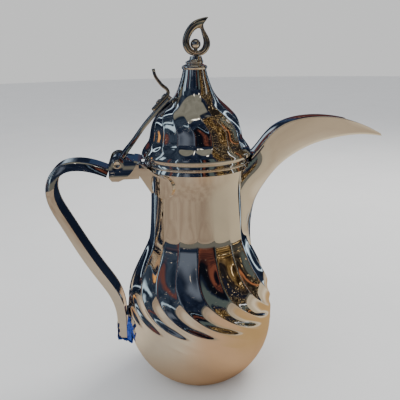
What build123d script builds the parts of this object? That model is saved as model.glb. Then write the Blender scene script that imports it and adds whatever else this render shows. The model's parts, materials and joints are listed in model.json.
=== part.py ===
from build123d import *
import os
from math import sqrt

# Dallah coffee pot. Millimetres, +Z up, spout towards +X, handle towards -X.
# The origin is the centre of the resting face.

os.makedirs("parts", exist_ok=True)

# ---- driving dimensions -------------------------------------------------------------------
SHEET = 0.9                    # stainless sheet of body, lid, spout and handle
BOWL_RADIUS = 61.8             # spherical lower bowl
BOWL_CENTRE_Z = 54.0
NECK_TOP_Z = 186.0
MOUTH_Z = 189.5                # top of the rolled collar on the neck
COLLAR_RADIUS = 42.0
STRAINER_HOLE_RADIUS = 1.75    # rows of three and two holes behind the spout's root
STRAINER_ROWS = 5
STRAINER_LOW_Z = 134.0
STRAINER_ROW_PITCH = 7.0
STRAINER_PITCH = 8.0

LID_BOTTOM_Z = 189.8
LID_SHELL_Z = 195.5            # where the domed sheet meets the rim ring
DOME_TOP_Z = 262.0
SKIRT_RADIUS = 35.4
SKIRT_BOTTOM_Z = 180.0

HINGE_X = -63.0                # axis of the lid hinge, along Y
HINGE_Z = 192.4
PIN_RADIUS = 2.0
RUNNING_CLEARANCE = 0.06
BARREL_RADIUS = 5.2
BARREL_HALF_WIDTH = 11.6
CHEEK_INNER = 12.0             # half the gap between the hinge cheeks
CHEEK_OUTER = 14.5
WASHER_THICKNESS = 0.8
WASHER_RADIUS = 3.4
HEAD_Y = CHEEK_OUTER + WASHER_THICKNESS   # the pin's heads bear on the washers
HEAD_RADIUS = 2.8

HANDLE_WIDTH = 24.0
HANDLE_DEPTH = 7.2
BRACKET_SHEET = 1.6
BRACKET_REACH = 40.2           # radius of the bracket's leaves round the neck
LEVER_WIDTH = 10.0
LEVER_THICKNESS = 3.0
TAB_THICKNESS = 2.4

FINIAL_X = 1.2                 # the finial stands a little towards the spout
STUD_RADIUS = 1.5
RING_THICKNESS = 6.4
BALL_RADIUS = 3.9
BALL_Z = 280.5
CAP_TOP_Z = 271.7
STUD_BOTTOM_Z = 254.0
WASHER_TOP_Z = DOME_TOP_Z - SHEET
RIVET_RADIUS = 1.2
RIVET_HEAD_RADIUS = 2.3
RIVET_LEVELS = (233.8, 238.0)   # heights on the dome
FIT = 0.02                     # radial gap of a rivet or stud in its hole
FILM = 0.3

# Outline of the pot above the middle of the bowl, and of the lid: (radius, height).
POT_OUTLINE = [
    (BOWL_RADIUS, BOWL_CENTRE_Z), (61.7, 68.0), (59.8, 82.0), (54.4, 97.0), (45.9, 114.0),
    (41.4, 125.0), (39.4, 138.0), (37.8, 163.0), (37.9, 177.0), (39.2, NECK_TOP_Z),
]
LID_OUTLINE = [
    (43.8, LID_SHELL_Z), (43.75, 198.2), (43.3, 199.5), (42.3, 201.3), (40.7, 203.8),
    (38.1, 208.0), (36.4, 214.5), (33.9, 222.5), (30.6, 228.0), (24.6, 234.0), (18.2, 240.0),
    (14.1, 246.0), (11.8, 252.0), (9.9, 258.0), (9.0, DOME_TOP_Z),
]

# Stations of the spout, root to tip: keel (x, z), upper edge (x, z), half width half-way up,
# half width at the upper edge. The first four reach inside the neck and are trimmed to it.
SPOUT_STATIONS = [
    ((45.5, 115.0), (24.0, 112.0), 8.0, 14.0),
    ((44.6, 130.0), (22.0, 135.0), 20.0, 22.0),
    ((47.0, 150.0), (26.0, 162.0), 15.0, 22.0),
    ((55.0, 167.0), (39.0, 187.0), 10.5, 12.0),
    ((65.0, 180.0), (48.8, 196.8), 6.8, 9.2),
    ((81.5, 193.0), (63.0, 213.0), 5.6, 8.8),
    ((98.0, 200.6), (82.0, 221.2), 4.9, 8.0),
    ((114.7, 204.6), (102.0, 222.4), 4.1, 6.9),
    ((131.6, 206.5), (122.0, 219.6), 3.0, 5.2),
    ((145.0, 206.0), (140.0, 213.5), 1.9, 3.2),
    ((154.5, 204.6), (153.0, 206.8), 0.9, 1.3),
]
KEEL_HALF_WIDTH = 1.0
STRIP_FIRST = 3                # the cover strip runs between these two stations
STRIP_LAST = 8
STRIP_EDGE = 0.9
STRIP_CROWN = 1.9

# Centre line of the handle, hinge end to foot: (x, z).
HANDLE_LINE = [
    (-70.2, 184.2), (-84.5, 189.6), (-96.0, 191.2), (-106.0, 189.3), (-113.2, 183.0),
    (-116.9, 173.0), (-115.8, 162.0), (-109.0, 146.5), (-96.0, 121.0), (-82.0, 96.5),
    (-71.6, 78.0), (-68.2, 66.0), (-67.4, 52.0), (-67.5, 40.0),
]


# ---- helpers ------------------------------------------------------------------------------
def inset_points(outline, inset):
    return [(r - inset, z) for r, z in outline]


def lid_radius(z):
    """Radius of the lid outline at height z, straight between its points."""
    for (r0, z0), (r1, z1) in zip(LID_OUTLINE, LID_OUTLINE[1:]):
        if z <= z1:
            return r0 + (r1 - r0) * (z - z0) / (z1 - z0)
    return LID_OUTLINE[-1][0]


def side_points(line, distance, count=28):
    """Points beside a plane curve, at a distance to its left."""
    points = []
    for k in range(count):
        t = k / (count - 1)
        place = line @ t
        tangent = line % t
        points.append((place.X - tangent.Y * distance, place.Y + tangent.X * distance))
    return points


def ribbon(line, right, left):
    """Flat band between two distances from a plane curve."""
    with BuildSketch() as band:
        with BuildLine():
            edge_a = Spline(*side_points(line, right))
            edge_b = Spline(*side_points(line, left))
            Line(edge_a @ 0, edge_b @ 0)
            Line(edge_a @ 1, edge_b @ 1)
        make_face()
    return band.sketch_local


def pot_half_section(inset):
    """Half section of the pot's outline, moved inwards by a wall, closed on the axis."""
    bowl = BOWL_RADIUS - inset
    base_radius = sqrt(bowl**2 - BOWL_CENTRE_Z**2)
    wall = inset_points(POT_OUTLINE, inset)
    with BuildSketch() as section:
        with BuildLine():
            Line((0, 0), (base_radius, 0))
            RadiusArc((base_radius, 0), wall[0], -bowl)
            Spline(*wall, tangents=[(0, 1), (0.25, 1)])
            Polyline(wall[-1], (0, NECK_TOP_Z), (0, 0))
        make_face()
    return section.sketch_local


def offcuts(shape):
    """Every solid of a trimmed piece but its largest."""
    return shape.solids().sort_by(SortBy.VOLUME)[:-1]


def station_plane(keel, edge):
    """Plane of one spout section: x from the keel to the upper edge, y across."""
    along = Vector(edge[0] - keel[0], 0, edge[1] - keel[1])
    return Plane(origin=(keel[0], 0, keel[1]), x_dir=along, z_dir=along.cross(Vector(0, 1, 0)))


def station_length(keel, edge):
    return sqrt((edge[0] - keel[0]) ** 2 + (edge[1] - keel[1]) ** 2)


# ---- pot: shell, base, collar -------------------------------------------------------------
with BuildPart() as pot_envelope:
    with BuildSketch(Plane.XZ):
        add(pot_half_section(0))
    revolve(axis=Axis.Z)

with BuildPart() as body_shell:
    with BuildSketch(Plane.XZ):
        add(pot_half_section(0))
    revolve(axis=Axis.Z)
    with BuildSketch(Plane.XZ):
        add(pot_half_section(SHEET))
    revolve(axis=Axis.Z, mode=Mode.SUBTRACT)
    for row in range(STRAINER_ROWS):
        columns = 2 + (row + 1) % 2
        with BuildSketch(Plane.YZ.offset(25)):
            with Locations((0, STRAINER_LOW_Z + STRAINER_ROW_PITCH * row)):
                with GridLocations(STRAINER_PITCH, 1, columns, 1):
                    Circle(STRAINER_HOLE_RADIUS)
        extrude(amount=25, mode=Mode.SUBTRACT)
body_shell.part.label = "body_shell"
export_step(body_shell.part, "parts/body_shell.step")

BASE_RADIUS = sqrt((BOWL_RADIUS - SHEET) ** 2 - BOWL_CENTRE_Z**2) - 0.05
with BuildPart() as base_disc:
    with BuildSketch(Plane.XY):
        Circle(BASE_RADIUS)
    extrude(amount=SHEET)
    with BuildSketch(Plane.XY.offset(SHEET)):
        Circle(BASE_RADIUS - 6)
    extrude(amount=0.6)
base_disc.part.label = "base_disc"
export_step(base_disc.part, "parts/base_disc.step")

with BuildPart() as mouth_collar:
    with BuildSketch(Plane.XZ):
        with BuildLine():
            Polyline(
                (37.4, NECK_TOP_Z), (COLLAR_RADIUS - 0.3, NECK_TOP_Z),
                (COLLAR_RADIUS, NECK_TOP_Z + 0.3), (COLLAR_RADIUS - 1.0, MOUTH_Z - 0.3),
                (COLLAR_RADIUS - 1.3, MOUTH_Z), (37.4, MOUTH_Z), close=True,
            )
        make_face()
    revolve(axis=Axis.Z)
mouth_collar.part.label = "mouth_collar"
export_step(mouth_collar.part, "parts/mouth_collar.step")

# ---- spout: folded trough with a keel, and a crowned strip that closes most of its top ------
with BuildPart() as spout_hollow:
    for keel, edge, middle, top in SPOUT_STATIONS[:-1]:
        length = station_length(keel, edge)
        with BuildSketch(station_plane(keel, edge)):
            with BuildLine():
                Polyline(
                    (1.3, -0.4), (length / 2, 0.8 - middle), (length + 4, 0.9 - top),
                    (length + 4, top - 0.9), (length / 2, middle - 0.8), (1.3, 0.4), close=True,
                )
            make_face()
    loft()

with BuildPart() as spout_trough:
    for keel, edge, middle, top in SPOUT_STATIONS:
        length = station_length(keel, edge)
        with BuildSketch(station_plane(keel, edge)):
            with BuildLine():
                Polyline(
                    (0, -KEEL_HALF_WIDTH), (length / 2, -middle), (length, -top),
                    (length, top), (length / 2, middle), (0, KEEL_HALF_WIDTH), close=True,
                )
            make_face()
    loft()
    add(spout_hollow.part, mode=Mode.SUBTRACT)
    add(pot_envelope.part, mode=Mode.SUBTRACT)
    with BuildSketch(Plane.XY.offset(NECK_TOP_Z)):
        Circle(COLLAR_RADIUS + 0.1)
    extrude(amount=40, mode=Mode.SUBTRACT)
    for offcut in offcuts(spout_trough.part):
        add(offcut, mode=Mode.SUBTRACT)
spout_trough.part.label = "spout_trough"
export_step(spout_trough.part, "parts/spout_trough.step")

with BuildPart() as spout_cover_strip:
    for keel, edge, middle, top in SPOUT_STATIONS[STRIP_FIRST:STRIP_LAST + 1]:
        low = station_length(keel, edge) + 0.06
        crown = STRIP_CROWN * top / SPOUT_STATIONS[STRIP_FIRST][3]
        with BuildSketch(station_plane(keel, edge)):
            with BuildLine():
                Polyline((low + STRIP_EDGE, -top), (low, -top), (low, top), (low + STRIP_EDGE, top))
                ThreePointArc(
                    (low + STRIP_EDGE, top), (low + STRIP_EDGE + crown, 0), (low + STRIP_EDGE, -top)
                )
            make_face()
    loft()
    add(pot_envelope.part, mode=Mode.SUBTRACT)
    with BuildSketch(Plane.XY.offset(NECK_TOP_Z)):
        Circle(COLLAR_RADIUS + 0.1)
    extrude(amount=MOUTH_Z - NECK_TOP_Z, mode=Mode.SUBTRACT)
    with BuildSketch(Plane.XY.offset(MOUTH_Z)):
        Circle(LID_OUTLINE[0][0] + 1.0)
    extrude(amount=40, mode=Mode.SUBTRACT)
    add(spout_trough.part, mode=Mode.SUBTRACT)
    for offcut in offcuts(spout_cover_strip.part):
        add(offcut, mode=Mode.SUBTRACT)
spout_cover_strip.part.label = "spout_cover_strip"
export_step(spout_cover_strip.part, "parts/spout_cover_strip.step")

# ---- hinge block: two cheeks and a floor, open above for the barrel -------------------------
with BuildPart() as block_solid:
    with BuildSketch(Plane.XZ):
        with BuildLine():
            Line((-70, 182), (-69.4, HINGE_Z + 1))
            ThreePointArc((-69.4, HINGE_Z + 1), (HINGE_X, HINGE_Z + 6.2), (-57.2, HINGE_Z + 3.4))
            Line((-57.2, HINGE_Z + 3.4), (-47.5, 193.6))
            ThreePointArc((-47.5, 193.6), (-53.0, 184.6), (-62.5, 178.6))
            Polyline((-62.5, 178.6), (-67.8, 178.8), (-70, 182))
        make_face()
    extrude(amount=CHEEK_OUTER, both=True)

with BuildPart() as hinge_block:
    add(block_solid.part)
    with BuildSketch(Plane.XZ):
        with Locations((HINGE_X, HINGE_Z)):
            Circle(BARREL_RADIUS + 1.0)
        with Locations((HINGE_X, HINGE_Z + 6)):
            Rectangle(12.6, 12)
    extrude(amount=CHEEK_INNER, both=True, mode=Mode.SUBTRACT)
    with BuildSketch(Plane.XZ):
        with Locations((HINGE_X, HINGE_Z)):
            Circle(PIN_RADIUS + 0.01)
    extrude(amount=CHEEK_OUTER, both=True, mode=Mode.SUBTRACT)
hinge_block.part.label = "hinge_block"
export_step(hinge_block.part, "parts/hinge_block.step")

# ---- neck bracket: web, sloping flange and two leaf wings round the neck --------------------
with BuildLine() as flange_line:
    Spline((-50.0, 194.0), (-41.5, 190.2), (-34.2, 184.8), (-27.0, 182.6), (-22.0, 178.6))

with BuildPart() as bracket_flange:
    with BuildSketch(Plane.XZ):
        add(ribbon(flange_line.line, -BRACKET_SHEET / 2, BRACKET_SHEET / 2))
    extrude(amount=34, both=True)
    with BuildSketch(Plane.XY.offset(150)):
        with BuildLine():
            front = Spline((-50.0, -14.5), (-44.0, -17.0), (-34.0, -24.5), (-21.0, -33.5))
            back = Spline((-50.0, 14.5), (-44.0, 17.0), (-34.0, 24.5), (-21.0, 33.5))
            Line(front @ 0, back @ 0)
            Line(front @ 1, back @ 1)
        make_face()
    extrude(amount=60, mode=Mode.INTERSECT)

with BuildPart() as neck_bracket:
    with BuildSketch(Plane.XY.offset(165)):
        Circle(BRACKET_REACH)
        Circle(30, mode=Mode.SUBTRACT)
    extrude(amount=21)
    with BuildSketch(Plane.XZ):
        with Locations((-29.5, 176)):
            Ellipse(8.0, 9.2)
    extrude(amount=60, both=True, mode=Mode.INTERSECT)
    add(bracket_flange.part)
    with BuildSketch(Plane.XZ):
        with BuildLine():
            Polyline((-62, 179.2), (-46.6, 179.2), (-46.6, 190.5), (-52, 191), close=True)
        make_face()
    extrude(amount=11, both=True)
    with BuildSketch(Plane.XZ):
        with BuildLine():
            Polyline((-47, 182), (-36, 182), (-36, 190), (-47, 190), close=True)
        make_face()
    extrude(amount=6, both=True)
    with BuildSketch(Plane.XZ):
        with BuildLine():
            Polyline(
                (-46.6, 182.4), (-44.4, 179), (-37.5, 167.5), (-30, 170), (-30, 188),
                (-46.6, 188), close=True,
            )
        make_face()
    extrude(amount=13, both=True)
    add(block_solid.part, mode=Mode.SUBTRACT)
    add(pot_envelope.part, mode=Mode.SUBTRACT)
    with BuildSketch(Plane.XY.offset(NECK_TOP_Z)):
        Circle(COLLAR_RADIUS + 0.05)
    extrude(amount=MOUTH_Z - 0.5 - NECK_TOP_Z, mode=Mode.SUBTRACT)
    with BuildSketch(Plane.XY.offset(MOUTH_Z - 0.5)):
        Circle(LID_OUTLINE[0][0] + 0.9)
    extrude(amount=20, mode=Mode.SUBTRACT)
neck_bracket.part.label = "neck_bracket"
export_step(neck_bracket.part, "parts/neck_bracket.step")

# ---- handle: folded outer channel, inner strip, foot plate ----------------------------------
with BuildLine() as handle_line:
    Spline(*HANDLE_LINE)

half_depth = HANDLE_DEPTH / 2
half_width = HANDLE_WIDTH / 2
with BuildPart() as handle_outer_channel:
    with BuildSketch(Plane.XZ):
        add(ribbon(handle_line.line, -half_depth, half_depth - SHEET))
    extrude(amount=half_width, both=True)
    with BuildSketch(Plane.XZ):
        add(ribbon(handle_line.line, SHEET - half_depth, half_depth + 1))
    extrude(amount=half_width - SHEET, both=True, mode=Mode.SUBTRACT)
    add(block_solid.part, mode=Mode.SUBTRACT)
handle_outer_channel.part.label = "handle_outer_channel"
export_step(handle_outer_channel.part, "parts/handle_outer_channel.step")

with BuildPart() as handle_inner_strip:
    with BuildSketch(Plane.XZ):
        add(ribbon(handle_line.line, half_depth - SHEET + 0.02, half_depth))
    extrude(amount=half_width, both=True)
    add(block_solid.part, mode=Mode.SUBTRACT)
handle_inner_strip.part.label = "handle_inner_strip"
export_step(handle_inner_strip.part, "parts/handle_inner_strip.step")

FOOT_INNER_X = HANDLE_LINE[-1][0] + half_depth
with BuildPart() as handle_foot_plate:
    with BuildSketch(Plane.XZ):
        with BuildLine():
            Polyline(
                (FOOT_INNER_X + 0.05, 42), (-56, 42), (-56, 60), (FOOT_INNER_X + 0.3, 60), close=True
            )
        make_face()
    extrude(amount=9, both=True)
    add(pot_envelope.part, mode=Mode.SUBTRACT)
handle_foot_plate.part.label = "handle_foot_plate"
export_step(handle_foot_plate.part, "parts/handle_foot_plate.step")

# Remnant of protective film left on the foot: a sheet under its end and a flap at its side.
with BuildPart() as protective_film:
    with BuildSketch(Plane.XZ):
        with BuildLine():
            Polyline(
                (-71.9, 39.9), (-71.9, 39.4), (-59.8, 34.6), (-59.0, 36.8), (-63.7, 39.9), close=True
            )
        make_face()
    extrude(amount=half_width + FILM, both=True)
    with BuildSketch(Plane.XZ.offset(half_width - FILM)):
        with BuildLine():
            Polyline(
                (-63.7, 38.5), (-60.0, 36.5), (-59.8, 50.0), (-61.4, 61.0), (FOOT_INNER_X + 0.3, 52.0),
                close=True,
            )
        make_face()
    extrude(amount=FILM)
    add(pot_envelope.part, mode=Mode.SUBTRACT)
protective_film.part.label = "protective_film"
export_step(protective_film.part, "parts/protective_film.step")

# ---- hinge: pin, washers, barrel ------------------------------------------------------------
with BuildPart() as hinge_pin:
    with BuildSketch(Plane.XZ):
        with Locations((HINGE_X, HINGE_Z)):
            Circle(PIN_RADIUS)
    extrude(amount=HEAD_Y, both=True)
    for side in (-1, 1):
        with BuildSketch(Plane.XZ.offset(side * HEAD_Y)):
            with Locations((HINGE_X, HINGE_Z)):
                Circle(HEAD_RADIUS)
        extrude(amount=side * 1.1, taper=20)
hinge_pin.part.label = "hinge_pin"
export_step(hinge_pin.part, "parts/hinge_pin.step")

with BuildPart() as pin_washers:
    for side in (-1, 1):
        with BuildSketch(Plane.XZ.offset(side * CHEEK_OUTER)):
            with Locations((HINGE_X, HINGE_Z)):
                Circle(WASHER_RADIUS)
                Circle(PIN_RADIUS + 0.02, mode=Mode.SUBTRACT)
        extrude(amount=side * WASHER_THICKNESS)
pin_washers.part.label = "pin_washers"
export_step(pin_washers.part, "parts/pin_washers.step")

with BuildPart() as hinge_barrel:
    with BuildSketch(Plane.XZ):
        with Locations((HINGE_X, HINGE_Z)):
            Circle(BARREL_RADIUS)
            Circle(PIN_RADIUS + RUNNING_CLEARANCE, mode=Mode.SUBTRACT)
    extrude(amount=BARREL_HALF_WIDTH, both=True)
hinge_barrel.part.label = "hinge_barrel"
export_step(hinge_barrel.part, "parts/hinge_barrel.step")

# ---- lid: domed sheet, rim ring with skirt --------------------------------------------------
lid_inner = inset_points(LID_OUTLINE, 1.1)
with BuildPart() as lid_dome:
    with BuildSketch(Plane.XZ):
        with BuildLine():
            Spline(*LID_OUTLINE)
            Line(LID_OUTLINE[-1], (0, DOME_TOP_Z))
            Line((0, DOME_TOP_Z), (0, DOME_TOP_Z - SHEET))
            Line((0, DOME_TOP_Z - SHEET), (lid_inner[-1][0], DOME_TOP_Z - SHEET))
            Line((lid_inner[-1][0], DOME_TOP_Z - SHEET), lid_inner[-2])
            Spline(*lid_inner[:-1])
            Line(lid_inner[0], LID_OUTLINE[0])
        make_face()
    revolve(axis=Axis.Z)
    with BuildSketch(Plane.XY.offset(DOME_TOP_Z)):
        with Locations((FINIAL_X, 0)):
            Circle(STUD_RADIUS + 0.05)
    extrude(amount=-5, mode=Mode.SUBTRACT)
lid_dome.part.label = "lid_dome"
export_step(lid_dome.part, "parts/lid_dome.step")

with BuildPart() as lid_rim_ring:
    with BuildSketch(Plane.XZ):
        with BuildLine():
            Polyline(
                (SKIRT_RADIUS - SHEET, SKIRT_BOTTOM_Z), (SKIRT_RADIUS, SKIRT_BOTTOM_Z),
                (SKIRT_RADIUS, LID_BOTTOM_Z), (41.7, LID_BOTTOM_Z),
            )
            ThreePointArc((41.7, LID_BOTTOM_Z), (42.3, LID_BOTTOM_Z + 0.6), (41.7, LID_BOTTOM_Z + 1.2))
            Polyline(
                (41.7, LID_BOTTOM_Z + 1.2), (41.4, LID_BOTTOM_Z + 1.3), (40.8, 194.5),
                (43.2, 194.9), (43.8, LID_SHELL_Z),
            )
            Polyline(
                (43.8, LID_SHELL_Z), (42.7, LID_SHELL_Z), (39.8, 195.2), (39.8, LID_BOTTOM_Z + SHEET),
                (SKIRT_RADIUS - SHEET, LID_BOTTOM_Z + SHEET), (SKIRT_RADIUS - SHEET, SKIRT_BOTTOM_Z),
            )
        make_face()
    revolve(axis=Axis.Z)
lid_rim_ring.part.label = "lid_rim_ring"
export_step(lid_rim_ring.part, "parts/lid_rim_ring.step")

# ---- finial: turned cap, flame ring, ball, stud, washer and nut -----------------------------
with BuildPart() as finial_cap:
    with BuildSketch(Plane.XZ):
        with BuildLine():
            Line((0, DOME_TOP_Z), (9.0, DOME_TOP_Z))
            ThreePointArc((9.0, DOME_TOP_Z), (9.9, 263.5), (8.9, 265.0))
            ThreePointArc((8.9, 265.0), (7.4, 265.6), (6.6, 266.4))
            ThreePointArc((6.6, 266.4), (6.9, 267.4), (6.2, 268.2))
            Polyline((6.2, 268.2), (0, 268.2), (0, DOME_TOP_Z))
        make_face()
    revolve(axis=Axis.Z)
    with BuildSketch(Plane.XY.offset(267.5)):
        with Locations((FINIAL_X, 0)):
            Circle(4.4)
    extrude(amount=4.2, taper=10)
    with BuildSketch(Plane.XY.offset(DOME_TOP_Z)):
        with Locations((FINIAL_X, 0)):
            Circle(STUD_RADIUS + FIT)
    extrude(amount=15, mode=Mode.SUBTRACT)
finial_cap.part.label = "finial_cap"
export_step(finial_cap.part, "parts/finial_cap.step")

with BuildPart() as finial_ring:
    with BuildSketch(Plane.XZ):
        with BuildLine():
            flame = Spline(
                (11.2, 300.0), (4.0, 299.0), (-2.7, 295.3), (-7.8, 287.5), (-8.6, 280.0),
                (-5.2, 274.0), (1.7, 271.8), (8.6, 273.6), (12.4, 280.5), (10.4, 287.2), (7.4, 293.8),
            )
            Spline(flame @ 1, (8.4, 297.2), flame @ 0)
        make_face()
        with BuildLine():
            Spline(
                (4.0, 292.6), (-1.6, 287.4), (-3.4, 281.6), (1.6, 275.4), (7.4, 281.0), (6.2, 287.4),
                periodic=True,
            )
        make_face(mode=Mode.SUBTRACT)
    extrude(amount=RING_THICKNESS / 2, both=True)
    with BuildSketch(Plane.XY.offset(260)):
        Rectangle(60, 60)
    extrude(amount=CAP_TOP_Z - 260, mode=Mode.SUBTRACT)
    with BuildSketch(Plane.XY.offset(CAP_TOP_Z - 3)):
        with Locations((FINIAL_X, 0)):
            Circle(STUD_RADIUS + FIT)
    extrude(amount=8, mode=Mode.SUBTRACT)
finial_ring.part.label = "finial_ring"
export_step(finial_ring.part, "parts/finial_ring.step")

with BuildPart() as finial_ball:
    with BuildSketch(Plane.XZ):
        with BuildLine():
            ThreePointArc(
                (0, BALL_Z - BALL_RADIUS), (BALL_RADIUS, BALL_Z), (0, BALL_Z + BALL_RADIUS)
            )
            Line((0, BALL_Z + BALL_RADIUS), (0, BALL_Z - BALL_RADIUS))
        make_face()
    revolve(axis=Axis.Z)
    with BuildSketch(Plane.XY.offset(BALL_Z - BALL_RADIUS - 1)):
        Circle(STUD_RADIUS + FIT)
    extrude(amount=4.0, mode=Mode.SUBTRACT)
finial_ball.part.position = (FINIAL_X, 0, 0)
finial_ball.part.label = "finial_ball"
export_step(finial_ball.part, "parts/finial_ball.step")

with BuildPart() as finial_stud:
    with BuildSketch(Plane.XY.offset(STUD_BOTTOM_Z)):
        with Locations((FINIAL_X, 0)):
            Circle(STUD_RADIUS)
    extrude(amount=BALL_Z - BALL_RADIUS + 1.5 - STUD_BOTTOM_Z)
finial_stud.part.label = "finial_stud"
export_step(finial_stud.part, "parts/finial_stud.step")

with BuildPart() as finial_washer:
    with BuildSketch(Plane.XY.offset(WASHER_TOP_Z)):
        with Locations((FINIAL_X, 0)):
            Circle(4.6)
            Circle(STUD_RADIUS + 0.05, mode=Mode.SUBTRACT)
    extrude(amount=-0.8)
finial_washer.part.label = "finial_washer"
export_step(finial_washer.part, "parts/finial_washer.step")

with BuildPart() as finial_nut:
    with BuildSketch(Plane.XY.offset(WASHER_TOP_Z - 0.8)):
        with Locations((FINIAL_X, 0)):
            RegularPolygon(3.2, 6)
            Circle(STUD_RADIUS + FIT, mode=Mode.SUBTRACT)
    extrude(amount=-2.6)
finial_nut.part.label = "finial_nut"
export_step(finial_nut.part, "parts/finial_nut.step")

# ---- lid lever: strap from the barrel to the dome, thumb tab on its end, rivets --------------
SLANT = sqrt(2)                # the strap climbs the dome at about 45 degrees
strap_gap = LEVER_THICKNESS / 2 * SLANT + 0.5
LEVER_LINE = [(-59.2, 196.4), (-54.4, 202.2), (-48.6, 209.4), (-42.6, 217.4), (-36.4, 224.6)]
LEVER_LINE += [(-lid_radius(z) - strap_gap, z) for z in (231.0, 236.0, 242.0)]
with BuildLine() as lever_line:
    Spline(*LEVER_LINE)

with BuildPart() as rivet_holes:
    for z in RIVET_LEVELS:
        with BuildSketch(Plane(origin=(-lid_radius(z), 0, z), z_dir=(-1, 0, 1))):
            Circle(RIVET_RADIUS + FIT)
        extrude(amount=9)

with BuildPart() as lid_lever:
    with BuildSketch(Plane.XZ):
        add(ribbon(lever_line.line, -LEVER_THICKNESS / 2, LEVER_THICKNESS / 2))
    extrude(amount=BARREL_HALF_WIDTH, both=True)
    with BuildSketch(Plane.XY.offset(180)):
        with BuildLine():
            front = Spline((-64, -11.4), (-58, -11.0), (-51, -6.8), (-44, -5.2), (-10, -5.0))
            back = Spline((-64, 11.4), (-58, 11.0), (-51, 6.8), (-44, 5.2), (-10, 5.0))
            Line(front @ 0, back @ 0)
            Line(front @ 1, back @ 1)
        make_face()
    extrude(amount=80, mode=Mode.INTERSECT)
    with BuildSketch(Plane.XZ):
        with Locations((HINGE_X, HINGE_Z)):
            Circle(BARREL_RADIUS + 0.01)
    extrude(amount=15, both=True, mode=Mode.SUBTRACT)
    add(rivet_holes.part, mode=Mode.SUBTRACT)
lid_lever.part.label = "lid_lever"
export_step(lid_lever.part, "parts/lid_lever.step")

tab_gap = strap_gap + (LEVER_THICKNESS / 2 + TAB_THICKNESS / 2) * SLANT + 0.1
TAB_LOW = (-lid_radius(231.5) - tab_gap, 231.5)
TAB_BEND = (TAB_LOW[0] + 13.4, TAB_LOW[1] + 13.3)
with BuildPart() as thumb_tab:
    with BuildSketch(Plane.XZ):
        with BuildLine():
            FilletPolyline(
                TAB_LOW, TAB_BEND, (-25.2, 250.2), (-30.2, 256.6), (-31.8, 263.2), radius=1.6
            )
            offset(amount=TAB_THICKNESS / 2, side=Side.BOTH)
        make_face()
    extrude(amount=LEVER_WIDTH / 2, both=True)
    add(rivet_holes.part, mode=Mode.SUBTRACT)
    add(lid_lever.part, mode=Mode.SUBTRACT)
thumb_tab.part.label = "thumb_tab"
export_step(thumb_tab.part, "parts/thumb_tab.step")

grip = strap_gap / SLANT + LEVER_THICKNESS / 2 + TAB_THICKNESS + 0.45
with BuildPart() as lever_rivets:
    for z in RIVET_LEVELS:
        foot = Vector(-lid_radius(z), 0, z)
        outwards = Vector(-1, 0, 1).normalized()
        with BuildSketch(Plane(origin=foot + outwards * 0.6, z_dir=outwards)):
            Circle(RIVET_RADIUS)
        extrude(amount=grip - 0.5)
        with BuildSketch(Plane(origin=foot + outwards * grip, z_dir=outwards)):
            Circle(RIVET_HEAD_RADIUS)
        extrude(amount=0.9, taper=30)
lever_rivets.part.label = "lever_rivets"
export_step(lever_rivets.part, "parts/lever_rivets.step")
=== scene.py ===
"""Looks of the dallah coffee pot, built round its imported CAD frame.

Shapes are worked out in millimetres, +Z up, spout towards +X, and written in metres.
"""

import json
from math import asin, atan, atan2, cos, degrees, pi, radians, sin, sqrt, tan

import bmesh
import bpy
import numpy as np
from mathutils import Matrix, Vector


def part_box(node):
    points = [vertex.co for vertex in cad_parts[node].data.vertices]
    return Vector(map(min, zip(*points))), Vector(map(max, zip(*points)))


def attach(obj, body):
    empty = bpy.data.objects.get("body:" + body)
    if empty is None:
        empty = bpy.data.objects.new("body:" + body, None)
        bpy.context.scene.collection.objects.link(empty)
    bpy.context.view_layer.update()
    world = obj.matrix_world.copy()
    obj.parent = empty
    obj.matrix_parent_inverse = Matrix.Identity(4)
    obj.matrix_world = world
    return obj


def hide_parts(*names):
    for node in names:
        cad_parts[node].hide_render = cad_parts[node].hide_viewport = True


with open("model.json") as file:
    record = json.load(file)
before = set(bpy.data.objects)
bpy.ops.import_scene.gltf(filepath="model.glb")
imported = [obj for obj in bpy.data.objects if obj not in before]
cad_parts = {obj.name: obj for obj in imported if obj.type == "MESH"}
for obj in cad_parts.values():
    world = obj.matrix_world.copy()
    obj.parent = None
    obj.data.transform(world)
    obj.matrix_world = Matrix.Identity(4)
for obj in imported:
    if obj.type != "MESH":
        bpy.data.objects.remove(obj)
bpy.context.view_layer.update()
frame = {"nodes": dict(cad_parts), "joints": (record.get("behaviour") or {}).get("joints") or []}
MM = 0.001


# ---- sizes read from the frame --------------------------------------------------------------
def box_mm(node):
    low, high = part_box(node)
    return np.array(low) / MM, np.array(high) / MM


_, BODY_HIGH = box_mm("body_shell")
_, COLLAR_HIGH = box_mm("mouth_collar")
DOME_LOW, DOME_HIGH = box_mm("lid_dome")
RIM_LOW, _ = box_mm("lid_rim_ring")
BARREL_LOW, BARREL_HIGH = box_mm("hinge_barrel")
_, PIN_HIGH = box_mm("hinge_pin")
_, WASHER_HIGH = box_mm("pin_washers")
BLOCK_LOW, BLOCK_HIGH = box_mm("hinge_block")
CHANNEL_LOW, CHANNEL_HIGH = box_mm("handle_outer_channel")
_, TAB_HIGH = box_mm("thumb_tab")
BALL_LOW, BALL_HIGH = box_mm("finial_ball")
RING_LOW, RING_HIGH = box_mm("finial_ring")
HINGE_X, _, HINGE_Z = [v / MM for v in frame["joints"][0]["pos_m"]]

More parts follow.
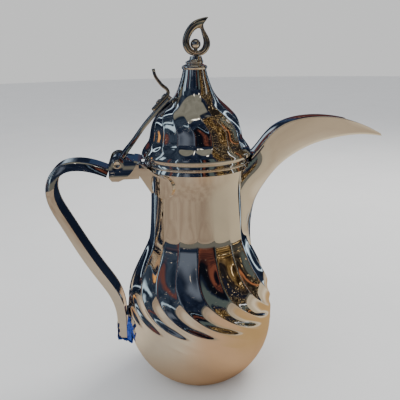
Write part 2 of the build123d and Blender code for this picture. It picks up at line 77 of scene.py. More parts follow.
SHEET = 0.9
BOWL_RADIUS = BODY_HIGH[0]
BOWL_CENTRE_Z = 54.0
NECK_TOP_Z = BODY_HIGH[2]
MOUTH_Z = COLLAR_HIGH[2]
COLLAR_RADIUS = COLLAR_HIGH[0]
LID_SHELL_Z = DOME_LOW[2]
DOME_TOP_Z = DOME_HIGH[2]
LID_BOTTOM_Z = MOUTH_Z + 0.3
SKIRT_BOTTOM_Z = RIM_LOW[2]
SKIRT_RADIUS = 35.4
BALL_RADIUS = (BALL_HIGH[0] - BALL_LOW[0]) / 2
BALL_Z = (BALL_HIGH[2] + BALL_LOW[2]) / 2
FINIAL_X = (BALL_HIGH[0] + BALL_LOW[0]) / 2
HANDLE_WIDTH = CHANNEL_HIGH[1] - CHANNEL_LOW[1]
TAB_WIDTH = 2 * TAB_HIGH[1]

# Outlines from below upwards: (radius, height).
POT_OUTLINE = [
    (BOWL_RADIUS, BOWL_CENTRE_Z), (61.7, 68.0), (59.8, 82.0), (54.4, 97.0), (45.9, 114.0),
    (41.4, 125.0), (39.4, 138.0), (37.8, 163.0), (37.9, 177.0), (39.2, NECK_TOP_Z),
]
LID_OUTLINE = [
    (43.8, LID_SHELL_Z), (43.75, 198.2), (43.3, 199.5), (42.3, 201.3), (40.7, 203.8),
    (38.1, 208.0), (36.4, 214.5), (33.9, 222.5), (30.6, 228.0), (24.6, 234.0), (18.2, 240.0),
    (14.1, 246.0), (11.8, 252.0), (9.9, 258.0), (9.0, DOME_TOP_Z),
]
# Spout, root to tip: keel (x, z), upper edge (x, z), half widths half-way up and at the edge.
SPOUT_STATIONS = [
    ((45.5, 115.0), (24.0, 112.0), 8.0, 14.0),
    ((44.6, 130.0), (22.0, 135.0), 20.0, 22.0),
    ((47.0, 150.0), (26.0, 162.0), 15.0, 22.0),
    ((55.0, 167.0), (39.0, 187.0), 10.5, 12.0),
    ((65.0, 180.0), (48.8, 196.8), 6.8, 9.2),
    ((81.5, 193.0), (63.0, 213.0), 5.6, 8.8),
    ((98.0, 200.6), (82.0, 221.2), 4.9, 8.0),
    ((114.7, 204.6), (102.0, 222.4), 4.1, 6.9),
    ((131.6, 206.5), (122.0, 219.6), 3.0, 5.2),
    ((145.0, 206.0), (140.0, 213.5), 1.9, 3.2),
    ((154.5, 204.6), (153.0, 206.8), 0.9, 1.3),
]
# Middle of the handle's section, from the hinge block to the foot: (x, z).
HANDLE_LINE = [
    (-70.2, 184.2), (-84.5, 189.6), (-96.0, 191.2), (-106.0, 189.3), (-113.2, 183.0),
    (-116.9, 173.0), (-115.8, 162.0), (-109.0, 146.5), (-96.0, 121.0), (-82.0, 96.5),
    (-71.6, 78.0), (-68.2, 66.0), (-67.4, 52.0), (-67.5, 40.0),
]

FLUTES = 18
PITCH = 2 * pi / FLUTES
PER_FLUTE = 20          # columns of the mesh in one flute
GATHERING = 1.6         # how much those columns crowd to the ridges; 1 is evenly spread


# ---- curves ---------------------------------------------------------------------------------
def ramp(x, low, high):
    """0 below low, 1 above high, and smooth between them."""
    t = np.clip((x - low) / (high - low), 0, 1)
    return t * t * (3 - 2 * t)


class Curve:
    """Smooth cubic curve through points of any dimension; t runs from 0 to 1 by distance."""

    def __init__(self, points, closed=False):
        points = np.array(points, float)
        count = len(points)
        if closed:
            points = np.vstack([points, points, points, points[:1]])
        steps = np.linalg.norm(np.diff(points, axis=0), axis=1)
        self.knots = np.r_[0, np.cumsum(steps)]
        self.points = points
        ends = (count, 2 * count) if closed else (0, len(points) - 1)
        self.start, self.end = self.knots[ends[0]], self.knots[ends[1]]
        size = len(points)
        left, right = np.eye(size), np.zeros((size, points.shape[1]))
        for i in range(1, size - 1):
            before, after = steps[i - 1], steps[i]
            left[i, i - 1:i + 2] = before, 2 * (before + after), after
            rise = (points[i + 1] - points[i]) / after - (points[i] - points[i - 1]) / before
            right[i] = 6 * rise
        self.bend = np.linalg.solve(left, right)

    def knot(self, i):
        """Value of t at the curve's point i."""
        return (self.knots[i] - self.start) / (self.end - self.start)

    def _span(self, t):
        at = self.start + np.asarray(t, float) * (self.end - self.start)
        i = np.clip(np.searchsorted(self.knots, at, side="right") - 1, 0, len(self.knots) - 2)
        width = (self.knots[i + 1] - self.knots[i])[..., None]
        return i, (at - self.knots[i])[..., None], width

    def at(self, t):
        i, u, h = self._span(t)
        p0, p1, m0, m1 = self.points[i], self.points[i + 1], self.bend[i], self.bend[i + 1]
        slope = (p1 - p0) / h - h * (2 * m0 + m1) / 6
        return p0 + slope * u + m0 * u**2 / 2 + (m1 - m0) * u**3 / (6 * h)

    def direction(self, t):
        i, u, h = self._span(t)
        p0, p1, m0, m1 = self.points[i], self.points[i + 1], self.bend[i], self.bend[i + 1]
        slope = (p1 - p0) / h - h * (2 * m0 + m1) / 6 + m0 * u + (m1 - m0) * u**2 / (2 * h)
        return slope / np.linalg.norm(slope, axis=-1, keepdims=True)


def arc(centre, radius, first, last, count):
    """Points of a circle's arc, angles in degrees."""
    angles = np.radians(np.linspace(first, last, count))
    return [(centre[0] + radius * cos(a), centre[1] + radius * sin(a)) for a in angles]


# ---- pot and lid surfaces -------------------------------------------------------------------
BASE_ANGLE = -np.degrees(asin(BOWL_CENTRE_Z / BOWL_RADIUS))
pot_curve = Curve(arc((0, BOWL_CENTRE_Z), BOWL_RADIUS, BASE_ANGLE, -10, 7) + POT_OUTLINE)
lid_curve = Curve(LID_OUTLINE)
pot_table = pot_curve.at(np.linspace(0, 1, 3000))


def pot_radius(z):
    return np.interp(z, pot_table[:, 1], pot_table[:, 0])


RIDGE_ANGLE = radians(-56)
RIDGE_ROUNDING = 0.16
SWIRL = radians(43)
SWIRL_TOP_Z, SWIRL_HEIGHT = 112.0, 50.0


def hollow(v):
    """Section of a flute: 1 in its middle, 0 on the narrow rounded ridge at each side."""
    rise = np.sqrt((1 - v**2) ** 2 + RIDGE_ROUNDING**2) - RIDGE_ROUNDING
    return rise / (sqrt(1 + RIDGE_ROUNDING**2) - RIDGE_ROUNDING)


def pot_turn(z):
    """Angle the pot's flutes have turned through: upright on the neck, swirling on the bowl."""
    down = np.clip((SWIRL_TOP_Z - z) / SWIRL_HEIGHT, 0, 1.25)
    return SWIRL * down**2.2


def pot_groove(z, v):
    """Depth below the pot's outline, v running from 0 in a flute's middle to 1 on its ridge.

    Deepest on the swirl, shallower up the neck, and gone on the bowl but for a faint crease.
    """
    depth = 1.1 + 0.8 * (1 - ramp(z, 70, 90)) - 0.5 * ramp(z, 104, 124)
    depth = depth - 0.45 * ramp(z, 122, 152) - 0.15 * ramp(z, 150, 182)
    end_z = 60 + 7 * v**2
    crease = 0.2 * ramp(z, 8, 30) * (1 - ramp(z, 58, 72))
    return (depth * ramp(z, end_z, end_z + 10) + crease) * hollow(v)


def lid_turn(z):
    """The lid's flutes are upright on the bell and turn over its shoulder."""
    return radians(-20) * ramp(z, 214, 238)


def lid_groove(z, v):
    """Depth below the lid's outline; the flutes start in arches over the rim."""
    start = 201.5 + 3.0 * v**2
    return 0.75 * hollow(v) * ramp(z, start, start + 5) * (1 - ramp(z, 216, 243))


# ---- meshes ---------------------------------------------------------------------------------
def grid_object(name, points, wrap_rows=False, wrap_columns=True, caps=False, sharp=35):
    """Object whose surface is a grid of points in millimetres, rows by columns by 3."""
    rows, columns = points.shape[:2]
    index = np.arange(rows * columns).reshape(rows, columns)
    grid = np.vstack([index, index[:1]]) if wrap_rows else index
    grid = np.hstack([grid, grid[:, :1]]) if wrap_columns else grid
    corners = (grid[:-1, :-1], grid[:-1, 1:], grid[1:, 1:], grid[1:, :-1])
    faces = np.stack(corners, -1).reshape(-1, 4).tolist()
    if caps:
        faces += [index[0][::-1].tolist(), index[-1].tolist()]
    return mesh_object(name, points.reshape(-1, 3), faces, sharp)


def mesh_object(name, points, faces, sharp=35):
    """Object from points in millimetres, with outward normals and smooth shading."""
    mesh = bpy.data.meshes.new(name)
    mesh.from_pydata((np.asarray(points) * MM).tolist(), [], faces)
    return tidy_mesh(name, mesh, sharp)


def tidy_mesh(name, mesh, sharp):
    """Object from a mesh, merged, facing outward and smooth up to the sharp angle."""
    work = bmesh.new()
    work.from_mesh(mesh)
    bmesh.ops.remove_doubles(work, verts=work.verts, dist=1e-6)
    bmesh.ops.recalc_face_normals(work, faces=work.faces)
    work.to_mesh(mesh)
    work.free()
    mesh.shade_smooth()
    mesh.set_sharp_from_angle(angle=radians(sharp))
    item = bpy.data.objects.new(name, mesh)
    bpy.context.scene.collection.objects.link(item)
    return item


def revolved(name, profile, columns=160, centre=(0, 0), axis="Z", closed=True, sharp=35):
    """Turned object: profile (radius, height) about an axis through centre."""
    profile = np.array(profile, float)
    angle = np.linspace(0, 2 * pi, columns, endpoint=False)
    across = profile[:, :1] * np.cos(angle)
    away = profile[:, :1] * np.sin(angle)
    along = np.repeat(profile[:, 1:2], columns, axis=1)
    if axis == "Z":
        points = np.stack([across + centre[0], away + centre[1], along], -1)
    else:
        points = np.stack([across + centre[0], along, away + centre[1]], -1)
    return grid_object(name, points, wrap_rows=closed, caps=not closed, sharp=sharp)


def rounded_section(width, depth, radius, crown=0.0, per_corner=5):
    """Rounded rectangle, width across and depth along the normal, with a raised outer side."""
    points = []
    corners = ((1, 1, 0), (-1, 1, 90), (-1, -1, 180), (1, -1, 270))
    for side, up, first in corners:
        centre = (side * (width / 2 - radius), up * (depth / 2 - radius))
        points += arc(centre, radius, first, first + 90, per_corner)
    points = np.array(points)
    half = width / 2
    lift = crown * (1 - (points[:, 0] / half) ** 2) * (points[:, 1] < 0)
    points[:, 1] -= lift
    return points


def swept(name, curve, sections, places, sharp=35):
    """Object swept along a curve in the XZ plane; sections hold (y, distance to the left)."""
    centre, tangent = curve.at(places), curve.direction(places)
    normal = np.stack([-tangent[:, 1], tangent[:, 0]], -1)
    sections = np.asarray(sections)
    x = centre[:, None, 0] + normal[:, None, 0] * sections[:, :, 1]
    z = centre[:, None, 1] + normal[:, None, 1] * sections[:, :, 1]
    return grid_object(name, np.stack([x, sections[:, :, 0], z], -1), caps=True, sharp=sharp)


def bevelled_copy(node, width, segments=3, sharp=30):
    """The CAD node's own shape as one clean mesh with rounded edges."""
    mesh = frame["nodes"][node].data.copy()
    mesh.materials.clear()
    work = bmesh.new()
    work.from_mesh(mesh)
    bmesh.ops.remove_doubles(work, verts=work.verts, dist=2e-6)
    bmesh.ops.dissolve_limit(
        work, angle_limit=radians(0.5), verts=work.verts, edges=work.edges,
    )
    work.to_mesh(mesh)
    work.free()
    item = tidy_mesh(node.replace("_", "-"), mesh, sharp)
    bevel = item.modifiers.new("edges", "BEVEL")
    bevel.width = width * MM
    bevel.segments = segments
    bevel.limit_method = "ANGLE"
    bevel.angle_limit = radians(sharp)
    bevel.use_clamp_overlap = True
    bevel.harden_normals = False
    weigh(item)
    return item


def weigh(item):
    """Keeps flat faces flat between rounded edges."""
    weighted = item.modifiers.new("flats", "WEIGHTED_NORMAL")
    weighted.keep_sharp = True
    return item


def join(kept, *others):
    """One object from several, keeping the first one's name."""
    work = bmesh.new()
    for item in (kept, *others):
        work.from_mesh(item.data)
    work.to_mesh(kept.data)
    work.free()
    for item in others:
        bpy.data.objects.remove(item)
    return kept


# ---- materials ------------------------------------------------------------------------------
class Nodes:
    """Short way to add and link shader nodes."""

    def __init__(self, tree):
        self.tree = tree
        tree.nodes.clear()

    def add(self, kind, values=None, **settings):
        node = self.tree.nodes.new(kind)
        for key, value in settings.items():
            setattr(node, key, value)
        for key, value in (values or {}).items():
            if isinstance(value, bpy.types.NodeSocket):
                self.tree.links.new(value, node.inputs[key])
            else:
                node.inputs[key].default_value = value
        return node

    def math(self, operation, *values):
        node = self.add("ShaderNodeMath", dict(enumerate(values)), operation=operation)
        return node.outputs[0]

    def band(self, value, low, high, soft):
        """1 between low and high, 0 outside, with soft edges."""
        rise = self.step(value, low - soft, low + soft)
        fall = self.step(value, high - soft, high + soft)
        return self.math("SUBTRACT", rise, fall)

    def step(self, value, low, high):
        """0 below low, 1 above high, and smooth between them."""
        node = self.add(
            "ShaderNodeMapRange", {"Value": value, "From Min": low, "From Max": high},
            interpolation_type="SMOOTHSTEP",
        )
        return node.outputs[0]

    def mix(self, factor, first, second):
        """Colour between two others."""
        values = {0: factor, 6: first, 7: second}
        return self.add("ShaderNodeMix", values, data_type="RGBA").outputs[2]

    def noise(self, vector, scale, detail=3.0, roughness=0.5):
        values = {"Vector": vector, "Scale": scale, "Detail": detail, "Roughness": roughness}
        return self.add("ShaderNodeTexNoise", values).outputs[0]

    def span(self, value, low, high):
        """0 to 1 stretched to low to high."""
        values = {"Value": value, "To Min": low, "To Max": high}
        return self.add("ShaderNodeMapRange", values).outputs[0]

    def finish(self, shader, kind="ShaderNodeOutputMaterial"):
        self.tree.links.new(shader.outputs[0], self.add(kind).inputs[0])


def new_material(name):
    material = bpy.data.materials.new(name)
    material.use_nodes = True
    return material, Nodes(material.node_tree)


def colour(r, g, b):
    return (r, g, b, 1.0)


def metal(name, light, dark, smooth, rough, wave, scratch, grain=(1, 1, 1), scratch_scale=900):
    """Bare metal: slow waves of the hand-polished sheet, fine wiping marks, faint smears."""
    material, n = new_material(name)
    place = n.add("ShaderNodeTexCoord").outputs["Object"]
    stretched = n.add("ShaderNodeMapping", {"Vector": place, "Scale": grain}).outputs[0]
    smear = n.noise(place, 38.0, 4.0, 0.6)
    fine = n.noise(stretched, scratch_scale, 2.0, 0.6)
    slow = n.noise(place, 55.0, 2.0, 0.4)
    tint = n.mix(n.step(smear, 0.3, 0.75), light, dark)
    marks = n.math("MULTIPLY", n.step(fine, 0.45, 0.8), 0.35)
    smears = n.math("MULTIPLY", n.step(smear, 0.4, 0.8), 0.65)
    roughness = n.span(n.math("ADD", marks, smears), smooth, rough)
    waves = n.add("ShaderNodeBump", {"Strength": 1.0, "Distance": wave * MM, "Height": slow})
    bumps = n.add(
        "ShaderNodeBump",
        {"Strength": 1.0, "Distance": scratch * MM, "Height": fine, "Normal": waves.outputs[0]},
    )
    values = {"Base Color": tint, "Metallic": 1.0, "Roughness": roughness}
    values["Normal"] = bumps.outputs[0]
    n.finish(n.add("ShaderNodeBsdfPrincipled", values))
    return material


def film_material():
    """Thin blue protective film, wrinkled, paler in tone on the crests of its folds."""
    material, n = new_material("film_blue")
    place = n.add("ShaderNodeTexCoord").outputs["Object"]
    folds = n.noise(place, 420.0, 4.0, 0.6)
    tint = n.mix(n.step(folds, 0.35, 0.8), colour(0.010, 0.05, 0.36), colour(0.06, 0.17, 0.62))
    roughness = n.span(folds, 0.12, 0.4)
    bump = n.add("ShaderNodeBump", {"Strength": 0.8, "Distance": 0.15 * MM, "Height": folds})
    values = {"Base Color": tint, "Roughness": roughness, "Normal": bump.outputs[0]}
    n.finish(n.add("ShaderNodeBsdfPrincipled", values))
    return material


STEEL = metal(
    "steel_polished", colour(0.86, 0.845, 0.82), colour(0.80, 0.785, 0.76),
    0.022, 0.075, wave=0.012, scratch=0.0006,
)
STEEL_HANDLE = metal(
    "steel_handle", colour(0.80, 0.79, 0.78), colour(0.70, 0.69, 0.68),
    0.035, 0.13, wave=0.02, scratch=0.0012, grain=(1, 6, 1),
)
STEEL_CAST = metal(
    "steel_cast", colour(0.66, 0.63, 0.58), colour(0.36, 0.33, 0.29),
    0.06, 0.22, wave=0.12, scratch=0.012, scratch_scale=420,
)
STEEL_PLAIN = metal(
    "steel_plain", colour(0.66, 0.66, 0.65), colour(0.5, 0.5, 0.49),
    0.16, 0.34, wave=0.01, scratch=0.003, grain=(1, 1, 5),
)
FILM = film_material()


def fit(item, body, slot, material, *nodes):
    """Gives a piece its material, puts it under its body's empty and hides the CAD nodes that it
    stands for.
    """
    item.data.materials.clear()
    item.data.materials.append(material)
    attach(item, body)
    if nodes:
        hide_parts(*nodes)
    return item


def steel(item, body, *nodes, material=STEEL):
    return fit(item, body, "polished_steel", material, *nodes)


# ---- pot ------------------------------------------------------------------------------------
def fluted_shell(profile, groove, turn):
    """Points round the axis on a profile (radius, height), lowered into the flutes.

    Columns follow the flutes and gather at their ridges.
    """
    profile = np.asarray(profile, float)
    z = profile[:, 1:2]
    across = np.linspace(-1, 1, PER_FLUTE, endpoint=False)
    across = np.sign(across) * (1 - (1 - np.abs(across)) ** GATHERING)
    place = (np.arange(FLUTES)[:, None] + (across + 1) / 2).ravel()
    angle = RIDGE_ANGLE + turn(z) + PITCH * place
    radius = profile[:, :1] - groove(z, np.abs(2 * (place % 1) - 1))
    height = np.broadcast_to(z, angle.shape)
    return np.stack([radius * np.cos(angle), radius * np.sin(angle), height], -1)


BODY_ROWS, BODY_INNER_ROWS = 226, 40
COLLAR_WALL = 4.6
COLLAR_CONE = 17        # degrees that the collar leans in


def make_body():
    """Fluted sheet of the bowl, shoulder and neck, with its inner side."""
    outer = pot_curve.at(np.linspace(0, 1, BODY_ROWS))
    inner = pot_curve.at(np.linspace(1, 0, BODY_INNER_ROWS)) - np.array([SHEET, 0])
    inner[:, 1] = np.clip(inner[:, 1], 0.0, NECK_TOP_Z)
    points = fluted_shell(np.vstack([outer, inner]), pot_groove, pot_turn)
    return grid_object("pot-body", points, wrap_rows=True, sharp=50)


def make_collar():
    """Collar of the neck, coned in to the lid's bead."""
    inside = COLLAR_RADIUS - COLLAR_WALL
    profile = [(inside, NECK_TOP_Z)]
    profile += arc((COLLAR_RADIUS - 0.3, NECK_TOP_Z + 0.3), 0.3, -90, COLLAR_CONE, 7)
    profile += arc((COLLAR_RADIUS - 1.45, MOUTH_Z - 0.45), 0.45, COLLAR_CONE, 90, 6)
    profile += arc((inside + 0.5, MOUTH_Z - 0.5), 0.5, 90, 180, 5)
    return revolved("mouth-collar", profile, 240, sharp=50)


steel(make_body(), "pot", "body_shell")
steel(make_collar(), "pot", "mouth_collar")


# ---- spout ----------------------------------------------------------------------------------
spout_curve = Curve([[*keel, *edge, middle, top] for keel, edge, middle, top in SPOUT_STATIONS])
KEEL_HALF_WIDTH = 1.0
KEEL_ROUNDING = 2.2
LID_CLEARANCE = 0.9


def spout_place(station, up, across):
    """Point of a spout section: up from the keel in the section's plane, and across."""
    keel, edge = station[:2], station[2:4]
    direction = (edge - keel) / np.linalg.norm(edge - keel)
    x, z = keel + direction * up
    return x, across, z


def trough_half_width(share, length, middle, top):
    """Half width of the trough at a share of its height, rounded under the keel."""
    bow = 2 * (KEEL_HALF_WIDTH + top - 2 * middle)
    slope = top - KEEL_HALF_WIDTH - bow
    half = KEEL_HALF_WIDTH + slope * share + bow * share**2
    near = np.clip(share * length / KEEL_ROUNDING, 0, 1)
    return half * np.sqrt(1 - (1 - near) ** 2)


def make_cutter():
    """What the spout is trimmed by: the pot's wall, its collar and the room the lid needs."""
    profile = [(pot_radius(z) - SHEET / 2, z) for z in np.linspace(96, NECK_TOP_Z - 0.1, 60)]
    clear = LID_OUTLINE[0][0] + LID_CLEARANCE
    profile += [(COLLAR_RADIUS - 0.15, NECK_TOP_Z), (COLLAR_RADIUS - 0.15, MOUTH_Z - 0.15)]
    profile += [(clear, MOUTH_Z - 0.1), (clear, 245.0)]
    return grid_object("cutter", fluted_shell(profile, pot_groove, pot_turn), caps=True)


def trimmed(item, sharp):
    """The item less the cutter."""
    cutter = make_cutter()
    cut = item.modifiers.new("trim", "BOOLEAN")
    cut.operation, cut.solver, cut.object = "DIFFERENCE", "EXACT", cutter
    shape = item.evaluated_get(bpy.context.evaluated_depsgraph_get())
    mesh = bpy.data.meshes.new_from_object(shape)
    item.modifiers.clear()
    item.data = mesh
    mesh.shade_smooth()
    mesh.set_sharp_from_angle(angle=radians(sharp))
    bpy.data.objects.remove(cutter)
    return item


def make_trough():
    """Folded sheet: two sides that meet in the rounded keel, and their inner faces."""
    shares = (1 - np.cos(np.linspace(0, pi / 2, 26))) ** 0.9
    rows = []
    for t in np.linspace(0, 1, 220) ** 0.92:
        station = spout_curve.at(t)
        length = np.linalg.norm(station[2:4] - station[:2])
        middle, top = station[4:]
        wall = min(SHEET, 0.42 * top)
        outer = trough_half_width(shares, length, middle, top)
        inner = np.maximum(outer - wall, 0.02)
        row = [spout_place(station, s * length, -w) for s, w in zip(shares[::-1], outer[::-1])]
        row += [spout_place(station, s * length, w) for s, w in zip(shares[1:], outer[1:])]
        lip = length + 0.25 * wall
        floor = np.maximum(shares * length, wall * 1.1)
        row += [spout_place(station, lip, top - share * wall) for share in (0.3, 0.7)]
        row += [spout_place(station, s, w) for s, w in zip(floor[::-1], inner[::-1])]
        row += [spout_place(station, s, -w) for s, w in zip(floor[1:], inner[1:])]
        row += [spout_place(station, lip, share * wall - top) for share in (0.7, 0.3)]
        rows.append(row)
    return trimmed(grid_object("spout-trough", np.array(rows), caps=True), sharp=60)


STRIP_FIRST, STRIP_LAST = 3, 8
STRIP_EDGE = 0.9
STRIP_CROWN = 1.3


def make_strip():
    """Crowned strip over the trough, up to the open beak."""
    rows = []
    first, last = spout_curve.knot(STRIP_FIRST), spout_curve.knot(STRIP_LAST)
    widest = SPOUT_STATIONS[STRIP_FIRST][3]
    across = np.sin(np.linspace(-pi / 2, pi / 2, 25))
    for t in np.linspace(first, last, 110):
        station = spout_curve.at(t)
        low = np.linalg.norm(station[2:4] - station[:2]) + 0.25
        top = station[5] + 0.15
        crown = STRIP_CROWN * top / widest
        row = [spout_place(station, low, u * (top - 0.15)) for u in across[::-1]]
        row += [spout_place(station, low + 0.35, -top)]
        rise = STRIP_EDGE + crown * (1 - across**2) - 0.3 * np.abs(across) ** 12
        row += [spout_place(station, low + h, u * top) for u, h in zip(across, rise)]
        row += [spout_place(station, low + 0.35, top)]
        rows.append(row)
    return trimmed(grid_object("spout-cover-strip", np.array(rows), caps=True), sharp=50)


steel(make_trough(), "pot", "spout_trough")
steel(make_strip(), "pot", "spout_cover_strip")


# ---- handle ---------------------------------------------------------------------------------
handle_curve = Curve(HANDLE_LINE)
HANDLE_DEPTHS = ((0.0, 6.6), (0.3, 7.2), (0.6, 8.0), (0.8, 8.0), (1.0, 7.4))
HANDLE_PLACES = np.linspace(0.004, 1, 190)
OUTER_NARROWING = 1.75
SIDE_CROWN = 0.22
SHARP_FOLD, SOFT_FOLD = 0.9, 2.6


def handle_depth(t):
    return np.interp(t, *zip(*HANDLE_DEPTHS))


def fold(half, low, high, slant, radius, count):
    """Rounded corner between the outer face at low and the side that slants out to (half, high)."""
    foot = half - (high - low) * tan(slant)
    centre = (foot - radius * (1 - sin(slant)) / cos(slant), low + radius)
    return arc(centre, radius, 270, 360 - degrees(slant), count)


def make_channel():
    """Folded sheet: outer face and two slanted sides, open on the inside of the loop."""
    corners = SOFT_FOLD + (SHARP_FOLD - SOFT_FOLD) * ramp(HANDLE_PLACES, 0.34, 0.62)
    sections = []
    for depth, corner in zip(handle_depth(HANDLE_PLACES), corners):
        half, low, high = HANDLE_WIDTH / 2, -depth / 2, depth / 2
        slant = atan(OUTER_NARROWING / depth)
        side = fold(half, low, high, slant, corner, 8)
        foot_y, foot_up = side[-1]
        for share in np.linspace(0, 1, 7)[1:-1]:
            swell = SIDE_CROWN * 4 * share * (1 - share)
            up = foot_up + (high - 0.15 - foot_up) * share
            side.append((foot_y + (half - foot_y) * share + swell, up))
        side += [(half, high - 0.15), (half - 0.15, high)]
        side += [(half - SHEET + 0.15, high), (half - SHEET, high - 0.15)]
        inside = max(corner - SHEET, 0.3)
        side += fold(half - SHEET / cos(slant), low + SHEET, high, slant, inside, 5)[::-1]
        sections.append(side + [(-y, up) for y, up in side[::-1]])
    return weigh(swept("handle-channel", handle_curve, sections, HANDLE_PLACES, 40))


def make_inner_strip():
    """Strip let in between the channel's sides, a hair below their edges."""
    sections = []
    for depth in handle_depth(HANDLE_PLACES):
        section = rounded_section(HANDLE_WIDTH - 2 * SHEET - 0.5, SHEET, 0.2, per_corner=3)
        section[:, 1] += depth / 2 - SHEET / 2 - 0.25
        sections.append(section)
    return weigh(swept("handle-inner-strip", handle_curve, sections, HANDLE_PLACES, 40))


steel(make_channel(), "pot", "handle_outer_channel", material=STEEL_HANDLE)
steel(make_inner_strip(), "pot", "handle_inner_strip", material=STEEL_HANDLE)


# ---- film -----------------------------------------------------------------------------------
def make_film():
    """Torn remnant: stuck along the foot's side, hanging below it and out to the bowl."""
    route = Curve([
        (-71.6, 53.0), (-71.7, 44.0), (-71.2, 39.4), (-67.5, 38.2), (-63.0, 36.2), (-59.9, 35.2),
        (-59.0, 37.0),
    ])
    places = np.linspace(0, 1, 60)
    centre, tangent = route.at(places), route.direction(places)
    normal = np.stack([-tangent[:, 1], tangent[:, 0]], -1)
    across = np.linspace(-1, 1, 41)
    half = HANDLE_WIDTH / 2 + 0.25
    rows = []
    for side in (1, -1):
        for u in across[::side]:
            torn = 1 - 0.06 * np.sin(31 * places + 2) - 0.04 * np.sin(73 * places)
            wrinkle = 0.35 * np.sin(24 * places + 5 * u) * np.sin(7 * u + 9 * places)
            lift = (wrinkle + 0.05 * side) * ramp(places, 0.2, 0.4)
            x = centre[:, 0] + normal[:, 0] * lift
            z = centre[:, 1] + normal[:, 1] * lift
            rows.append(np.stack([x, u * half * torn, z], -1))
    points = np.array(rows).transpose(1, 0, 2)
    return join(grid_object("protective-film", points, caps=True, sharp=60), make_flap())


def make_flap():
    """Crinkled shred standing up between the handle's foot and the bowl."""
    z = np.linspace(36.8, 60.5, 60)[:, None]
    near = np.interp(z, (36.8, 38.5, 52.0, 60.5), (-61.5, -63.7, -63.3, -61.7))
    far = np.interp(z, (36.8, 50.0, 60.5), (-60.2, -59.9, -61.3)) + 0.25 * np.sin(2.1 * z)
    share = np.linspace(0, 1, 16)[None, :]
    x = near + (far - near) * share
    crinkle = 0.22 * np.sin(1.3 * z + 5 * share) + 0.14 * np.sin(3.1 * z - 9 * share)
    side = -HANDLE_WIDTH / 2 + 0.1 + crinkle
    z = np.broadcast_to(z, x.shape)
    front = np.stack([x, side - 0.06, z], -1)
    back = np.stack([x, side + 0.06, z], -1)[:, ::-1]
    return grid_object("flap", np.hstack([front, back]), caps=True, sharp=60)


fit(make_film(), "pot", "blue_film", FILM, "protective_film")


# ---- hinge ----------------------------------------------------------------------------------
def make_pin():
    """Pin with dished heads that bear on the washers."""
    reach = PIN_HIGH[1]
    head = reach - 1.1
    half = [(0.02, reach - 0.8), (0.7, reach - 0.77), (1.3, reach - 0.62), (1.8, reach - 0.36)]
    half += [(2.2, reach - 0.06), (2.4, reach), (2.6, reach - 0.06), (2.78, reach - 0.3)]
    half += [(2.8, head + 0.15), (2.75, head), (2.0, head)]
    profile = half + [(r, -y) for r, y in half[::-1]]
    return revolved("hinge-pin", profile, 64, (HINGE_X, HINGE_Z), "Y", closed=False, sharp=50)


CHEEK_SKIN = 0.75       # only this outer depth of a cheek is moved
CHEEK_STEP = 0.8        # spacing of the cuts that let it bend
CHEEK_FLAT, CHEEK_EDGE = 3.2, 5.5   # flat under the pin's head, domed past this radius


def cut_across(work, axis, low, high):
    """Cuts a mesh by evenly spaced planes square to an axis, from low to high in millimetres."""
    across = Vector((0, 0, 0))
    across[axis] = 1.0
    for place in np.arange(low + CHEEK_STEP / 2, high, CHEEK_STEP):
        parts = work.verts[:] + work.edges[:] + work.faces[:]
        point = across * float(place * MM)
        bmesh.ops.bisect_plane(work, geom=parts, plane_co=point, plane_no=across, dist=1e-7)


def make_block():
    """Cast hinge block; its cheeks are domed, full below and leaning in above the pin."""
    cast = bevelled_copy("hinge_block", 0.7, segments=4)
    shape = cast.evaluated_get(bpy.context.evaluated_depsgraph_get())
    mesh = bpy.data.meshes.new_from_object(shape)
    cast.modifiers.clear()
    cast.data = mesh
    work = bmesh.new()
    work.from_mesh(mesh)
    for axis in (0, 2):
        cut_across(work, axis, BLOCK_LOW[axis], BLOCK_HIGH[axis])
    skin = BLOCK_HIGH[1] - CHEEK_SKIN
    for vertex in work.verts:
        x, y, z = vertex.co / MM
        share = np.clip((abs(y) - skin) / CHEEK_SKIN, 0, 1)
        if share > 0:
            along, up = x - HINGE_X, z - HINGE_Z
            swell = -0.011 * (up + 3.0) * abs(up + 3.0) - 0.055 * up
            swell = np.clip(swell, -2.2, 0.9) * ramp(np.hypot(along, up), CHEEK_FLAT, CHEEK_EDGE)
            vertex.co.y = (y + float(np.sign(y) * share * swell)) * MM
    work.to_mesh(mesh)
    work.free()
    mesh.shade_smooth()
    mesh.set_sharp_from_angle(angle=radians(40))
    return cast


def make_washers():
    """Washers between the pin's heads and the cheeks."""
    low, high, outer = BLOCK_HIGH[1], WASHER_HIGH[1], WASHER_HIGH[0] - HINGE_X
    ring = [(2.03, low), (outer, low), (outer, high - 0.25), (outer - 0.25, high), (2.03, high)]
    near = revolved("pin-washers", ring, 64, (HINGE_X, HINGE_Z), "Y")
    far = revolved("far-washer", [(r, -y) for r, y in ring], 64, (HINGE_X, HINGE_Z), "Y")
    return join(near, far)


def make_barrel():
    """Knuckle on the pin, chamfered at its bore and rounded outside."""
    radius, half = (BARREL_HIGH[0] - BARREL_LOW[0]) / 2, BARREL_HIGH[1]
    bore = 2.06
    profile = [(bore, -half), (bore + 0.3, -half)]
    profile += arc((radius - 0.5, 0.5 - half), 0.5, 270, 360, 5)
    profile += arc((radius - 0.5, half - 0.5), 0.5, 0, 90, 5)
    profile += [(bore + 0.3, half), (bore, half)]
    return revolved("hinge-barrel", profile, 96, (HINGE_X, HINGE_Z), "Y")


steel(make_block(), "pot", "hinge_block")
steel(bevelled_copy("neck_bracket", 0.3), "pot", "neck_bracket")
steel(make_pin(), "pot", "hinge_pin")
steel(make_washers(), "pot", "pin_washers")
steel(make_barrel(), "lid", "hinge_barrel")


# ---- lid ------------------------------------------------------------------------------------
DOME_ROWS, DOME_INNER_ROWS = 150, 60
DOME_WALL = 1.1
STUD_HOLE_RADIUS = 1.6


